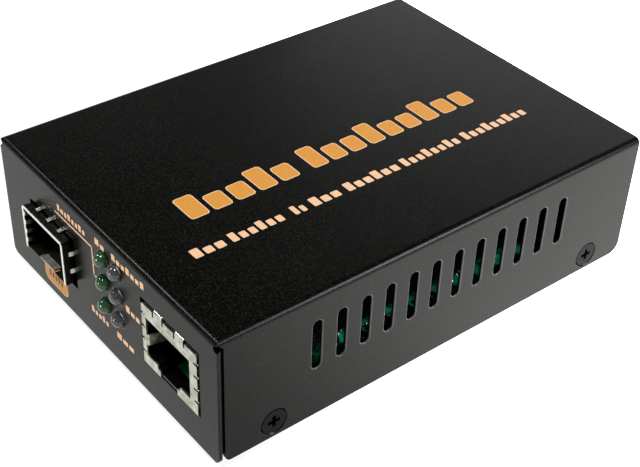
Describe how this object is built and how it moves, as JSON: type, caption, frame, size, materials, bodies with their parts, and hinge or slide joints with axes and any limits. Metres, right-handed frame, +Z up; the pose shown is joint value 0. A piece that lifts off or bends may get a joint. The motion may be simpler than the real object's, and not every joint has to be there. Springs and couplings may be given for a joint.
{
  "type": "fibre media converter",
  "caption": "Small folded steel box that joins a copper network line to an optical one, with a cage for a plug-in module, a shielded jack, indicator lights and a power inlet.",
  "frame": {"origin": "middle of the outline in plan, on the surface that the feet stand on", "axes": "+Z up; the face with the ports looks towards -Y; +X is to the right seen from that face"},
  "size_m": [0.0684, 0.0966, 0.0275],
  "materials": {
    "powder_black": "fine powder coat, satin",
    "tray_black": "fine powder coat, satin",
    "screw_black": "black oxide, semi-gloss",
    "print_orange": "screen-printed ink",
    "cage_steel": "stamped, dull plated",
    "collar_steel": "stamped, bright plated",
    "shield_nickel": "stamped, satin nickel",
    "jack_black": "moulded, satin",
    "contact_gold": "gold flashed",
    "lead_tin": "tinned wire",
    "lens_green": "tinted clear casting",
    "lens_clear": "clear casting",
    "holder_black": "moulded",
    "inlet_black": "moulded, satin",
    "board_green": "solder mask",
    "standoff_brass": "turned",
    "board_screw_steel": "zinc plated",
    "foot_rubber": "moulded",
    "chip_black": "moulded epoxy",
    "pad_grey": "soft gap filler",
    "sink_aluminium": "extruded, anodised",
    "inductor_grey": "pressed ferrite",
    "can_aluminium": "drawn can",
    "crystal_steel": "welded lid",
    "fuse_white": "fired",
    "chip_tan": "fired, tin ends"
  },
  "bodies": {
    "root": {"base_plate": "tray_black", "board_screws": "board_screw_steel", "board_standoffs": "standoff_brass", "can_capacitor_1": "can_aluminium", "can_capacitor_2": "can_aluminium", "can_capacitor_3": "can_aluminium", "case_screws": "screw_black", "chip_capacitors": "chip_tan", "chip_resistors": "chip_black", "circuit_board": "board_green", "controller_chip": "chip_black", "cover": "powder_black", "crystal": "crystal_steel", "dc_jack_body": "inlet_black", "dc_jack_pin": "contact_gold", "dc_jack_spring": "lead_tin", "foot_front_left": "foot_rubber", "foot_front_right": "foot_rubber", "foot_rear_left": "foot_rubber", "foot_rear_right": "foot_rubber", "fuse": "fuse_white", "heatsink": "sink_aluminium", "lan_transformer": "chip_black", "led_clear_bottom": "lens_clear", "led_clear_middle": "lens_clear", "led_clear_top": "lens_clear", "led_green_bottom": "lens_green", "led_green_middle": "lens_green", "led_green_top": "lens_green", "led_holder": "holder_black", "led_leads": "lead_tin", "memory_chip": "chip_black", "phy_chip": "chip_black", "power_inductor_1": "inductor_grey", "power_inductor_2": "inductor_grey", "power_inductor_3": "inductor_grey", "regulator_1": "chip_black", "regulator_2": "chip_black", "rj45_contacts": "contact_gold", "rj45_housing": "jack_black", "rj45_shield": "shield_nickel", "sfp_cage": "cage_steel", "sfp_cage_floor": "cage_steel", "sfp_connector": "jack_black", "sfp_contacts": "contact_gold", "sfp_spring_collar": "collar_steel", "thermal_pad": "pad_grey"}
  },
  "joints": []
}
